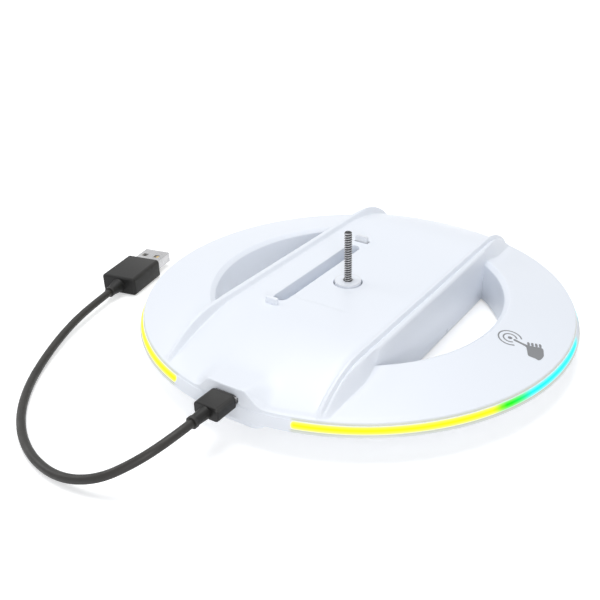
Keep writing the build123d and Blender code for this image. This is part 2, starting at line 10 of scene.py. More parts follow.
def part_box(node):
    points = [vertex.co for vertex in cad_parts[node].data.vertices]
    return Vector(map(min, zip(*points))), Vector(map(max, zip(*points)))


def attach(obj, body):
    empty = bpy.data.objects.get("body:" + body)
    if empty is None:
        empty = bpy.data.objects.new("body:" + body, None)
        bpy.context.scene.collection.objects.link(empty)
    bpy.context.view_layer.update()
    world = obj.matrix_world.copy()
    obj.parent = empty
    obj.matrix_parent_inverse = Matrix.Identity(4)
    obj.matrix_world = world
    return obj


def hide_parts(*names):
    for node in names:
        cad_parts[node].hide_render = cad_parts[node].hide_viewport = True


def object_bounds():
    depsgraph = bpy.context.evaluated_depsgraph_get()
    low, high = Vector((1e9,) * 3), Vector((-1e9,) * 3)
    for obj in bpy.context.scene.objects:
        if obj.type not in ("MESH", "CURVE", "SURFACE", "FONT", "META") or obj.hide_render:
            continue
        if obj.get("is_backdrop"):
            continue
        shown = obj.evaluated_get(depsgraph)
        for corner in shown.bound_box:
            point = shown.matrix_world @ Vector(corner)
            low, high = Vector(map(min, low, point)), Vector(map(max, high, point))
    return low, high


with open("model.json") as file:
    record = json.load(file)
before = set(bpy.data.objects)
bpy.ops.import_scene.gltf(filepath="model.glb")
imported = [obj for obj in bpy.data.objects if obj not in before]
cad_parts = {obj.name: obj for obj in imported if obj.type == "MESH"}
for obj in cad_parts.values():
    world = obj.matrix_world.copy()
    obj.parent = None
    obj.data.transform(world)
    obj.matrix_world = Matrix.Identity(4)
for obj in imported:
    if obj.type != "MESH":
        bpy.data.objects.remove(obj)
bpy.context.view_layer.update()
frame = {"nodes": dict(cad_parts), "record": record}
RECORD = frame["record"]
MM = 0.001

# ---- Sizes of the part, in millimetres, as the CAD has them ----------------------
RIM_R = 85.0
RIM_TOP_R = 83.0
RIM_LOW_Z = 9.0
RIM_TOP_Z = 13.4
LIGHT_LOW_Z = 9.95
LIGHT_TOP_Z = 12.45
LIGHT_GAP_HALF = 22.7
LIP_R = 57.9
LIP_EDGE_R = LIP_R + 0.25   # where the ring's top starts to round into the opening
LIP_Z = 17.9
FLOOR_Z = 2.8
HALF_X = 33.8
DECK_Z = 23.0
DECK_BEND_R = 80.0
DECK_BEND_RUN = 34.6     # length of the deck's bend along Y
DECK_RUN = 38.2          # from the start of the bend to the rim
RIB_X = 30.5
RIB_RISE = 1.5
RIB_BEND_R = 34.5
RIB_START_Y = 51.9
RIB_BEND_RUN = 25.35     # length of the rib's bend along Y
RIB_TOP_HALF = 0.5
BEAD_START = 0.25        # the rib's rounded top falls away on the outside from here
BEAD_RUN = 0.7
BEAD_DROP = 1.2
GROOVE_DEPTH = 0.45
SHOULDER_EDGE = 2.5      # outer edge of the flat shoulder, from the rib's middle
SHOULDER_ROUND = 0.8
SHOULDER_DROP = 1.1
RIM_SETTLE = 2.0         # the surface comes down to the rim's edge over this width
SLOT = (-14.4, 2.9, -35.0, 21.0)
SLOT_FLOOR_Z = 14.0
HOLE = (0.0, -9.0, 5.6)
WINDOW = (-14.4, 26.0, 3.2, 1.25)
LUG_FRONT_Y = -38.0
LUG_REAR_Y = 26.0
LUG_SIZE = (5.4, 1.6, 2.6)
COLLAR_R = 5.1
COLLAR_TOP = 23.85
SCREW_R = 1.5
SCREW_BOTTOM = 4.35
SHANK_R = 1.2
THREAD_BOTTOM = 24.0
THREAD_PITCH = 0.95      # drawn coarse for looks; an M3 thread has 0.5
THREAD_DEPTH = 0.36
PORT_Z = 14.4
PORT_HALF = (4.8, 1.91)
HUMP_Z = 18.9
HUMP_HALF = (6.4, 15.5)
ICON_R = 64.6
ICON_ANGLE = -4.5
CORD_R = 1.5
CORD_POINTS = [
    (0.0, -99.3, 14.4), (0.0, -109.3, 14.4), (-4.6, -118.8, 11.0), (-13.5, -125.5, 5.6),
    (-26.0, -128.5, 2.2), (-39.5, -127.0, 1.55), (-52.5, -121.5, 1.55), (-64.5, -112.5, 1.55),
    (-75.0, -100.5, 1.6), (-83.5, -86.5, 2.0), (-90.5, -71.0, 3.0), (-95.5, -55.0, 4.0), (-99.0, -39.0, 4.0),
]


# ---- Camera ------------------------------------------------------------------------
CAMERA_LENS = 47.98
CAMERA_SHIFT_X = -0.0789
CAMERA_PLACE = (140.38, -240.68, 162.03)     # millimetres
CAMERA_FORWARD = (-0.45597, 0.75144, -0.47689)
CAMERA_UP = (-0.25312, 0.40421, 0.87894)


def make_camera():
    data = bpy.data.cameras.new("camera")
    data.lens = CAMERA_LENS
    data.sensor_width = 36.0
    data.shift_x = CAMERA_SHIFT_X
    cam = bpy.data.objects.new("camera", data)
    bpy.context.collection.objects.link(cam)
    forward = Vector(CAMERA_FORWARD).normalized()
    up = Vector(CAMERA_UP)
    right = forward.cross(up).normalized()
    up = right.cross(forward)
    turn = Matrix((right, up, -forward)).transposed().to_4x4()
    cam.matrix_world = Matrix.Translation(Vector(CAMERA_PLACE) * MM) @ turn
    data.clip_start = 0.01
    data.clip_end = 20.0
    bpy.context.scene.camera = cam


make_camera()


# ---- Materials -----------------------------------------------------------------------
class Nodes:
    """Short way to build a node tree."""

    def __init__(self, name):
        self.mat = bpy.data.materials.new(name)
        self.mat.use_nodes = True
        self.tree = self.mat.node_tree
        self.tree.nodes.clear()
        self.shader = self.add("ShaderNodeBsdfPrincipled")
        out = self.add("ShaderNodeOutputMaterial")
        self.tree.links.new(self.shader.outputs[0], out.inputs[0])
        self.coord = self.add("ShaderNodeTexCoord").outputs["Object"]

    def add(self, kind, **values):
        node = self.tree.nodes.new(kind)
        for key, value in values.items():
            setattr(node, key, value)
        return node

    def link(self, a, b):
        self.tree.links.new(a, b)

    def math(self, op, a, b=0.0, c=0.0):
        node = self.add("ShaderNodeMath", operation=op)
        for index, value in enumerate((a, b, c)):
            if isinstance(value, (int, float)):
                node.inputs[index].default_value = value
            else:
                self.link(value, node.inputs[index])
        return node.outputs[0]

    def noise(self, scale, detail=3.0, rough=0.5, stretch=None):
        node = self.add("ShaderNodeTexNoise")
        node.inputs["Scale"].default_value = scale
        node.inputs["Detail"].default_value = detail
        node.inputs["Roughness"].default_value = rough
        if stretch:
            mapping = self.add("ShaderNodeMapping")
            mapping.inputs["Scale"].default_value = stretch
            self.link(self.coord, mapping.inputs[0])
            self.link(mapping.outputs[0], node.inputs["Vector"])
        else:
            self.link(self.coord, node.inputs["Vector"])
        return node.outputs["Fac"]

    def ramp(self, fac, stops, smooth=False):
        node = self.add("ShaderNodeValToRGB")
        elements = node.color_ramp.elements
        while len(elements) < len(stops):
            elements.new(0.5)
        for element, (place, colour) in zip(elements, stops):
            element.position = place
            element.color = (*colour, 1.0)
        if smooth:
            node.color_ramp.interpolation = "EASE"
        self.link(fac, node.inputs[0])
        return node.outputs[0]

    def span(self, value, low, high, to_low, to_high):
        node = self.add("ShaderNodeMapRange", interpolation_type="SMOOTHSTEP")
        self.link(value, node.inputs[0])
        for index, number in enumerate((low, high, to_low, to_high)):
            node.inputs[index + 1].default_value = number
        return node.outputs[0]

    def mix(self, fac, a, b):
        node = self.add("ShaderNodeMix", data_type="RGBA")
        self.link(fac, node.inputs[0])
        for socket, value in ((node.inputs[6], a), (node.inputs[7], b)):
            if isinstance(value, tuple):
                socket.default_value = (*value, 1.0)
            else:
                self.link(value, socket)
        return node.outputs[2]

    def bump(self, height, strength, distance=0.0002):
        node = self.add("ShaderNodeBump")
        node.inputs["Strength"].default_value = strength
        node.inputs["Distance"].default_value = distance
        self.link(height, node.inputs["Height"])
        self.link(node.outputs[0], self.shader.inputs["Normal"])

    def wear(self, low=0.53, high=0.62):
        """Rises along outside edges, where handling polishes the surface."""
        point = self.add("ShaderNodeNewGeometry").outputs["Pointiness"]
        return self.span(point, low, high, 0.0, 1.0)


def plastic(name, dark, light, rough, grain=900.0, grain_strength=0.05, specular=0.5, wear_tint=None):
    """Moulded plastic: a fine grain, slight flow marks in colour and gloss, polished edges."""
    n = Nodes(name)
    flow = n.noise(14.0, 2.0)
    fine = n.noise(grain, 4.0, 0.6)
    colour = n.ramp(flow, [(0.3, dark), (0.7, light)])
    edge = n.wear()
    if wear_tint:
        colour = n.mix(edge, colour, wear_tint)
    n.link(colour, n.shader.inputs["Base Color"])
    gloss = n.span(n.noise(45.0, 3.0), 0.3, 0.7, rough - 0.04, rough + 0.05)
    gloss = n.math("SUBTRACT", gloss, n.math("MULTIPLY", edge, 0.06))
    n.link(gloss, n.shader.inputs["Roughness"])
    n.shader.inputs["Specular IOR Level"].default_value = specular
    n.bump(fine, grain_strength)
    return n.mat


def metal(name, dark, light, rough, stretch=(1, 1, 1), brush=400.0, strength=0.12):
    """Plated or brushed metal with fine scratches and duller patches."""
    n = Nodes(name)
    lines = n.noise(brush, 5.0, 0.65, stretch)
    patches = n.noise(120.0, 3.0)
    n.link(n.ramp(patches, [(0.3, dark), (0.7, light)]), n.shader.inputs["Base Color"])
    n.link(n.span(lines, 0.3, 0.7, rough - 0.07, rough + 0.1), n.shader.inputs["Roughness"])
    n.shader.inputs["Metallic"].default_value = 1.0
    n.bump(lines, strength, 0.0001)
    return n.mat


def rubber(name, dark, light, rough, grain=1500.0, strength=0.2):
    n = Nodes(name)
    fine = n.noise(grain, 4.0, 0.7)
    n.link(n.ramp(n.noise(60.0, 3.0), [(0.3, dark), (0.7, light)]), n.shader.inputs["Base Color"])
    n.link(n.span(n.noise(200.0), 0.3, 0.7, rough - 0.06, rough + 0.06), n.shader.inputs["Roughness"])
    n.bump(fine, strength)
    return n.mat


def board(name, low, high):
    """Solder mask with copper tracks showing faintly through."""
    n = Nodes(name)
    cells = n.add("ShaderNodeTexVoronoi", feature="DISTANCE_TO_EDGE")
    cells.inputs["Scale"].default_value = 420.0
    n.link(n.coord, cells.inputs["Vector"])
    tracks = n.span(cells.outputs[0], 0.02, 0.08, 0.0, 1.0)
    n.link(n.mix(tracks, high, low), n.shader.inputs["Base Color"])
    n.link(n.span(n.noise(150.0), 0.3, 0.7, 0.3, 0.42), n.shader.inputs["Roughness"])
    n.bump(tracks, 0.15, 0.0001)
    return n.mat


SHELL_DARK = (0.83, 0.865, 0.925)
SHELL_LIGHT = (0.86, 0.89, 0.945)


def light_band():
    """Frosted window of the rim light: a soft strip with rounded ends, its colour turning round the rim."""
    n = Nodes("light_strip_glow")
    split = n.add("ShaderNodeSeparateXYZ")
    n.link(n.coord, split.inputs[0])
    x, y, z = split.outputs
    turn = n.math("ARCTAN2", x, n.math("MULTIPLY", y, -1.0))
    along = n.math("MULTIPLY", n.math("ABSOLUTE", turn), RIM_TOP_R * MM)
    half = (LIGHT_TOP_Z - LIGHT_LOW_Z) / 2 * MM
    start = LIGHT_GAP_HALF * 1.013 * MM + half
    short = n.math("MAXIMUM", n.math("SUBTRACT", start, along), 0.0)
    rise = n.math("SUBTRACT", z, (LIGHT_TOP_Z + LIGHT_LOW_Z) / 2 * MM)
    away = n.math("SQRT", n.math("ADD", n.math("MULTIPLY", short, short), n.math("MULTIPLY", rise, rise)))
    core = n.span(away, half * 0.66, half * 1.04, 1.0, 0.0)
    share = n.math("ADD", n.math("DIVIDE", turn, 2 * math.pi), 0.5)
    yellow, green, spring = (1.0, 1.0, 0.003), (0.0, 1.0, 0.003), (0.0, 1.0, 0.2)
    cyan, blue, violet = (0.0, 0.95, 1.0), (0.02, 0.15, 1.0), (0.45, 0.02, 1.0)
    pink, red, orange = (1.0, 0.02, 0.45), (1.0, 0.03, 0.01), (1.0, 0.3, 0.003)
    hue = n.ramp(share, [
        (0.0, blue), (0.07, violet), (0.13, pink), (0.18, red), (0.23, orange), (0.28, yellow),
        (0.6695, yellow), (0.6775, green), (0.6845, green), (0.6935, spring), (0.7025, cyan), (0.86, cyan),
        (1.0, blue),
    ])
    dim = n.math("MAXIMUM", n.span(share, 0.772, 0.785, 1.0, 0.0), n.span(share, 0.8, 0.83, 0.0, 1.0))
    lit = n.math("MULTIPLY", core, dim)
    deep = n.mix(n.span(away, 0.0, half, 0.0, 1.0), (0.002, 0.002, 0.002), (0.3, 0.3, 0.22))
    n.link(n.mix(lit, SHELL_LIGHT, deep), n.shader.inputs["Base Color"])
    n.link(hue, n.shader.inputs["Emission Color"])
    n.link(lit, n.shader.inputs["Emission Strength"])
    n.link(n.span(n.noise(500.0), 0.3, 0.7, 0.45, 0.6), n.shader.inputs["Roughness"])
    n.shader.inputs["Specular IOR Level"].default_value = 0.08
    n.bump(n.noise(900.0, 3.0), 0.04)
    return n.mat


def shell_material():
    """Satin white housing, with the rim light's glow painted as a beige tint on the edges beside it."""
    n = Nodes("shell_satin_white")
    split = n.add("ShaderNodeSeparateXYZ")
    n.link(n.coord, split.inputs[0])
    x, y, z = split.outputs
    radius = n.math("SQRT", n.math("ADD", n.math("MULTIPLY", x, x), n.math("MULTIPLY", y, y)))
    turn = n.math("ABSOLUTE", n.math("ARCTAN2", x, n.math("MULTIPLY", y, -1.0)))
    lit = n.span(turn, 0.27, 0.29, 0.0, 1.0)
    outer = n.span(radius, 82.75 * MM, 82.98 * MM, 0.0, 1.0)
    above = n.span(z, 12.4 * MM, 13.35 * MM, 1.0, 0.15)
    below = n.span(z, 9.0 * MM, 9.98 * MM, 0.3, 1.0)
    glow = n.math("MULTIPLY", n.math("MULTIPLY", lit, outer), n.math("MINIMUM", above, below))
    colour = n.ramp(n.noise(9.0, 2.0), [(0.3, SHELL_DARK), (0.7, SHELL_LIGHT)])
    # painted glow: the rim's edge just above and below the lit part of the strip is tinted beige as if lit by
    # it
    n.link(n.mix(n.math("MULTIPLY", glow, 0.75), colour, (0.62, 0.64, 0.42)), n.shader.inputs["Base Color"])
    edge = n.wear()
    gloss = n.span(n.noise(30.0, 3.0), 0.3, 0.7, 0.33, 0.42)
    n.link(n.math("SUBTRACT", gloss, n.math("MULTIPLY", edge, 0.08)), n.shader.inputs["Roughness"])
    n.shader.inputs["Specular IOR Level"].default_value = 0.45
    n.bump(n.noise(1100.0, 4.0, 0.6), 0.03)
    return n.mat


def inner_material():
    """Matt white frame inside the deck, with painted shade: drawn near black below the deck's surface."""
    n = Nodes("inner_matt_white")
    split = n.add("ShaderNodeSeparateXYZ")
    n.link(n.coord, split.inputs[0])
    # painted shade: below about 22.3 mm the frame's colour goes near black, standing in for the shade in the
    # gaps
    deep = n.span(split.outputs[2], 22.3 * MM, 22.9 * MM, 1.0, 0.0)
    white = n.ramp(n.noise(14.0, 2.0), [(0.3, (0.80, 0.82, 0.86)), (0.7, (0.84, 0.86, 0.90))])
    n.link(n.mix(deep, white, (0.05, 0.05, 0.054)), n.shader.inputs["Base Color"])
    n.link(n.span(n.noise(45.0, 3.0), 0.3, 0.7, 0.46, 0.56), n.shader.inputs["Roughness"])
    n.bump(n.noise(900.0, 4.0, 0.6), 0.05)
    return n.mat


def thread_material():
    """Darkened steel, a worn grey along the crests of the thread, with painted shade near black at its root.
    """
    n = Nodes("thread_nickel")
    split = n.add("ShaderNodeSeparateXYZ")
    n.link(n.coord, split.inputs[0])
    x = split.outputs[0]
    y = n.math("SUBTRACT", split.outputs[1], HOLE[1] * MM)
    radius = n.math("SQRT", n.math("ADD", n.math("MULTIPLY", x, x), n.math("MULTIPLY", y, y)))
    crest = n.span(radius, 1.18 * MM, 1.47 * MM, 0.0, 1.0)
    worn = n.ramp(n.noise(300.0), [(0.3, (0.34, 0.34, 0.35)), (0.7, (0.5, 0.5, 0.51))])
    # painted shade: inside 1.18 mm radius the thread's root is drawn near black, as the shade between the
    # crests
    n.link(n.mix(crest, (0.03, 0.03, 0.032), worn), n.shader.inputs["Base Color"])
    n.link(n.span(n.noise(900.0, 4.0), 0.3, 0.7, 0.36, 0.5), n.shader.inputs["Roughness"])
    n.shader.inputs["Metallic"].default_value = 0.9
    n.bump(n.noise(900.0, 4.0), 0.1, 0.0001)
    return n.mat


LOOKS = {
    "white_shell": shell_material(),
    "white_inner": inner_material(),
    "light_strip": light_band(),
    "led_board": board("strip_board_white", (0.8, 0.8, 0.77), (0.7, 0.68, 0.6)),
    "led_package": plastic("led_gel", (0.85, 0.78, 0.4), (0.95, 0.88, 0.5), 0.2, 300.0),
    "circuit_board": board("board_green", (0.02, 0.15, 0.07), (0.05, 0.28, 0.12)),
    "chip_black": plastic("chip_epoxy", (0.015, 0.015, 0.016), (0.03, 0.03, 0.03), 0.55, 1500.0, 0.2),
    "component_tan": plastic("ceramic_tan", (0.38, 0.27, 0.16), (0.5, 0.38, 0.24), 0.5),
    "connector_white": plastic("nylon_white", (0.78, 0.75, 0.66), (0.86, 0.84, 0.77), 0.45),
    "port_steel": metal("port_stainless", (0.5, 0.5, 0.51), (0.66, 0.66, 0.67), 0.3, (1, 6, 1)),
    "port_plastic": plastic("icon_ink", (0.21, 0.215, 0.225), (0.26, 0.265, 0.275), 0.6, 1400.0, 0.08),
    "copper_pad": metal("pad_copper", (0.6, 0.34, 0.18), (0.78, 0.47, 0.28), 0.35),
    "wire_jacket": rubber("wire_red", (0.4, 0.02, 0.015), (0.5, 0.03, 0.02), 0.4),
    "foot_rubber": rubber("foot_grey", (0.07, 0.07, 0.072), (0.11, 0.11, 0.112), 0.75),
    "screw_steel": metal("screw_zinc", (0.3, 0.3, 0.31), (0.42, 0.42, 0.43), 0.35),
    "thread_steel": thread_material(),
    "knob_plastic": plastic("knob_grey", (0.68, 0.7, 0.73), (0.76, 0.78, 0.81), 0.45, 1200.0, 0.12),
    "cable_black": plastic("plug_black", (0.009, 0.009, 0.009), (0.014, 0.0137, 0.0134), 0.46, 1300.0, 0.12,
                           0.3, (0.035, 0.034, 0.033)),
    "cable_jacket": rubber("jacket_black", (0.010, 0.009, 0.0075), (0.017, 0.015, 0.013), 0.5, 1200.0, 0.1),
    "usb_steel": metal("usb_nickel", (0.42, 0.42, 0.43), (0.58, 0.58, 0.59), 0.27, (1, 8, 1), 500.0),
    "contact_gold": metal("contact_flash", (0.7, 0.48, 0.16), (0.85, 0.64, 0.3), 0.25),
}

for row in RECORD["subparts"]:
    obj = frame["nodes"][row["node"]]
    for index in range(max(1, len(obj.material_slots))):
        if not obj.material_slots:
            obj.data.materials.append(None)
        obj.material_slots[index].link = "OBJECT"
        obj.material_slots[index].material = LOOKS[row["material_slot"]]


# ---- Mesh helpers ----------------------------------------------------------------------
def make_piece(name, verts, faces, slot, body="base", sharp=35.0, scale=MM):
    mesh = bpy.data.meshes.new(name)
    mesh.from_pydata([tuple(float(c) * scale for c in v) for v in verts], [], [tuple(f) for f in faces])
    mesh.validate()
    mesh.polygons.foreach_set("use_smooth", [True] * len(mesh.polygons))
    mesh.update()
    mesh.set_sharp_from_angle(angle=math.radians(sharp))
    obj = bpy.data.objects.new(name, mesh)
    bpy.context.collection.objects.link(obj)
    obj.data.materials.append(LOOKS[slot])
    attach(obj, body)
    return obj


def smooth(t):
    t = np.clip(t, 0.0, 1.0)
    return t * t * (3 - 2 * t)


def soft_max(a, b, width):
    """Larger of two heights, with a fillet of about the given width where they meet."""
    h = np.clip(0.5 + 0.5 * (a - b) / width, 0.0, 1.0)
    return b + (a - b) * h + width * h * (1 - h)


def ring_height(r):
    slope = (LIP_Z - RIM_TOP_Z) / (RIM_TOP_R - LIP_R)
    return RIM_TOP_Z + (RIM_TOP_R - r) * slope


def cover_height(x, y):
    """Outside of the top cover above every point of the disc."""
    r = np.hypot(x, y)
    dx, a = np.abs(x), np.abs(y)
    edge = np.sqrt(np.maximum(RIM_TOP_R ** 2 - x ** 2, 1.0))
    # Deck: level, then a long bend down to the rim.
    run = a - (edge - DECK_RUN)
    turn = np.clip(run, 0.0, DECK_BEND_RUN)
    end_slope = DECK_BEND_RUN / math.sqrt(DECK_BEND_R ** 2 - DECK_BEND_RUN ** 2)
    fall = DECK_BEND_R - np.sqrt(DECK_BEND_R ** 2 - turn ** 2)
    fall = fall + np.maximum(run - DECK_BEND_RUN, 0.0) * end_slope
    deck = DECK_Z - fall
    # The housing over the port: a flat-topped swelling with S-shaped flanks.
    front = np.clip((-y - 44.0) / 30.0, 0.0, 1.0)
    hump_top = DECK_Z + (HUMP_Z - DECK_Z) * smooth(front)
    across = smooth((HUMP_HALF[1] - dx) / (HUMP_HALF[1] - HUMP_HALF[0]))
    deck = np.where(y < -30, deck + soft_max(hump_top - deck, 0.0, 1.2) * across, deck)
    # Rib along each side: a slim round crest with a hollow inner side.
    along = np.clip(a - RIB_START_Y, 0.0, RIB_BEND_RUN)
    crest = DECK_Z + RIB_RISE - (RIB_BEND_R - np.sqrt(RIB_BEND_R ** 2 - along ** 2))
    crest = np.maximum(crest, deck)
    lift = crest - deck
    reach = 0.9 + 0.3 * lift
    top = deck + lift * smooth((dx - (RIB_X - RIB_TOP_HALF - reach)) / reach) ** 1.2
    # Outer side: beside the openings a narrow shoulder above the wall, over the ring one S-shaped sweep.
    ground = ring_height(np.minimum(r, RIM_TOP_R))
    ground = np.where(r < LIP_R, LIP_Z, ground)
    out = dx - RIB_X
    bead = smooth((out - BEAD_START) / BEAD_RUN)
    groove = GROOVE_DEPTH * bead * (1 - smooth((out - 0.95) / 0.75))
    band = BEAD_DROP * bead + groove + 0.15 * np.clip((out - 1.7) / 1.0, 0.0, 1.0)
    round_off = np.clip((out - SHOULDER_EDGE) / SHOULDER_ROUND, 0.0, 1.0)
    shoulder = band + SHOULDER_DROP * (1 - np.sqrt(1 - np.minimum(round_off, 0.999) ** 2))
    edge_at = SHOULDER_EDGE - 1.7 * smooth((a - 48.0) / 26.0)
    foot = 0.8 + 1.7 * smooth((a - 47.3) / 10.0)
    drop = np.maximum(crest - ground, 0.0)
    small = np.clip(drop / 3.0, 0.0, 1.0)
    fade = smooth((out - edge_at) / foot)
    sweep = crest - small * band * (1 - fade) - drop * fade
    blend = smooth((a - 44.0) / 3.3)
    side = np.where(out > BEAD_START, (top - shoulder) * (1 - blend) + sweep * blend, top)
    height = np.where(dx > HALF_X, np.where(a > 47.2, sweep, ground), side)
    # All of it comes down to the rim's edge, except the port's housing.
    settle = smooth((RIM_TOP_R - r) / RIM_SETTLE)
    keep = np.where(y < 0, across, 0.0)
    rim = RIM_TOP_Z + (height - RIM_TOP_Z) * (settle + (1 - settle) * keep)
    return np.where(r > RIM_TOP_R - RIM_SETTLE, rim, height)


# ---- Top cover ---------------------------------------------------------------------------
ROUND = 0.25


def shapes(x, y):
    """Signed distance to each edge of the cover's outside, positive on the plastic, with the way off it."""
    r = np.hypot(x, y) + 1e-9
    found = [("rim", RIM_TOP_R - 0.4 - r, x / r, y / r)]
    lip = np.where(np.abs(x) > HALF_X - 1e-6, r - (LIP_EDGE_R), 1e3)
    found.append(("lip", lip, -x / r, -y / r))
    cx, half, y0, y1 = SLOT
    half = half + ROUND
    py = np.clip(y, y0 + half - ROUND, y1 - half + ROUND)
    d = np.hypot(x - cx, y - py) + 1e-9
    found.append(("slot", d - half, -(x - cx) / d, -(y - py) / d))
    hx, hy, hr = HOLE
    d = np.hypot(x - hx, y - hy) + 1e-9
    found.append(("hole", d - hr - ROUND * 0.6, -(x - hx) / d, -(y - hy) / d))
    return found


def grid_lines(stops):
    lines = []
    for (low, high, step) in stops:
        count = max(1, round((high - low) / step))
        lines += [low + (high - low) * k / count for k in range(count)]
    return np.array(lines + [stops[-1][1]])


def build_cover():
    wx, wy, whx, why = WINDOW
    xs = grid_lines([(-83.2, -35.8, 0.75), (-35.8, -28.0, 0.2), (-28.0, wx - whx, 0.7),
                     (wx - whx, wx + whx, 0.4),
                     (wx + whx, 28.0, 0.7), (28.0, 35.8, 0.2), (35.8, 83.2, 0.75)])
    for side in (-HALF_X, HALF_X):
        xs[np.argmin(np.abs(xs - side))] = side
    ys = grid_lines([(-83.2, -58.0, 0.55), (-58.0, wy - why, 0.75), (wy - why, wy + why, 0.5),
                     (wy + why, 83.2, 0.7)])
    X, Y = np.meshgrid(xs, ys, indexing="ij")
    hx = np.gradient(xs)[:, None] + 0 * Y
    hy = np.gradient(ys)[None, :] + 0 * X
    kind = np.zeros(X.shape, int)
    state = np.ones(X.shape, int)
    names = ["none", "rim", "lip", "slot", "hole", "window", "bridge"]
    fixed = np.zeros(X.shape, bool)
    corner_y = math.sqrt((LIP_EDGE_R) ** 2 - HALF_X ** 2)
    in_well = (np.abs(X) > HALF_X + 1e-6) & (np.hypot(X, Y) < LIP_EDGE_R)
    state[in_well] = -1
    for sx in (-1, 1):
        column = int(np.argmin(np.abs(xs - sx * HALF_X)))
        for sy in (-1, 1):
            row = int(np.argmin(np.abs(ys - sy * corner_y)))
            Y[column, row] = sy * corner_y
            fixed[column, row] = True
            kind[column, row] = 2
            state[column, row] = 0
        on = (np.abs(Y[column]) < corner_y - 1e-6)
        kind[column, on] = 6
        state[column, on] = 0
        fixed[column, on] = True
        # Beyond the corner the column is plain surface.
    for name, d, nx, ny in shapes(X, Y):
        code = names.index(name)
        tol = 0.5 * (np.abs(nx) * hx + np.abs(ny) * hy) * 1.02
        near = (np.abs(d) < tol) & ~fixed
        if name == "lip":
            near &= np.abs(X) > HALF_X + 1e-6
            far = (d <= 0) & ~near & (np.abs(X) > HALF_X + 1e-6)
        else:
            far = (d <= 0) & ~near & ~fixed
        X[near] += (nx * d)[near]
        Y[near] += (ny * d)[near]
        kind[near] = code
        state[near] = 0
        state[far] = -1
    inside = (np.abs(X - wx) < whx - 1e-6) & (np.abs(Y - wy) < why - 1e-6)
    edge = (np.abs(X - wx) < whx + 1e-6) & (np.abs(Y - wy) < why + 1e-6) & ~inside
    state[inside] = -1
    state[edge] = 0
    kind[edge] = 5
    Z = cover_height(X, Y)

    verts = np.stack([X.ravel(), Y.ravel(), Z.ravel()], 1).tolist()
    cols = Y.shape[1]
    s, k = state.ravel(), kind.ravel()
    faces = []

    def keep(tri):
        if min(s[v] for v in tri) < 0:
            return False
        if any(s[v] > 0 for v in tri):
            return True
        cx = sum(verts[v][0] for v in tri) / len(tri)
        cy = sum(verts[v][1] for v in tri) / len(tri)
        if abs(cx - wx) < whx and abs(cy - wy) < why:
            return False
        if abs(cx) > HALF_X and math.hypot(cx, cy) < LIP_EDGE_R:
            return False
        return all(d > 0 for name, d, _, _ in shapes(np.array(cx), np.array(cy)) if name != "lip")

    for i in range(X.shape[0] - 1):
        for j in range(cols - 1):
            a, b = i * cols + j, (i + 1) * cols + j
            quad = (a, b, b + 1, a + 1)
            marks = [s[v] for v in quad]
            if max(marks) < 0:
                continue
            if min(marks) > 0:
                faces.append(quad)
                continue
            if marks[0] == 0 and marks[2] == 0:
                pairs = ((quad[0], quad[1], quad[2]), (quad[0], quad[2], quad[3]))
            elif marks[1] == 0 and marks[3] == 0:
                pairs = ((quad[0], quad[1], quad[3]), (quad[1], quad[2], quad[3]))
            elif keep(quad):
                faces.append(quad)
                continue
            elif min(marks[0], marks[2]) >= 0:
                pairs = ((quad[0], quad[1], quad[2]), (quad[0], quad[2], quad[3]))
            else:
                pairs = ((quad[0], quad[1], quad[3]), (quad[1], quad[2], quad[3]))
            faces += [tri for tri in pairs if keep(tri)]

    # Walls and rounded edges that hang from the outside's edges.
    ways = {}
    for face in faces:
        for p, q in zip(face, face[1:] + face[:1]):
            ways[(p, q)] = 1
    rims = [(p, q) for (p, q) in ways if (q, p) not in ways]
    rows = {
        "rim": [(0.0, 0.0), (0.14, 0.03), (0.27, 0.11), (0.36, 0.24), (0.4, 0.4)],
        "lip": [(0.0, 0.0), (0.12, 0.02), (0.3, 0.1), (0.7, 0.34), (1.2, 0.68), (1.75, 1.03), (1.98, 1.2),
                (2.1, 1.36), (2.15, 1.6)],
        "slot": [(0.0, 0.0), (0.1, 0.02), (0.18, 0.08), (0.23, 0.15), (0.25, 0.25)],
        "hole": [(0.0, 0.0), (0.08, 0.03), (0.13, 0.08), (0.15, 0.15)],
        "window": [(0.0, 0.0), (0.0, 0.1)],
    }
    depth = {"rim": (LIGHT_TOP_Z, 12), "lip": (FLOOR_Z, 14), "slot": (SLOT_FLOOR_Z, 10), "hole": (20.9, 4),
             "window": (20.9, 4)}
    made = {}
    outer_half = math.atan2(corner_y, HALF_X)

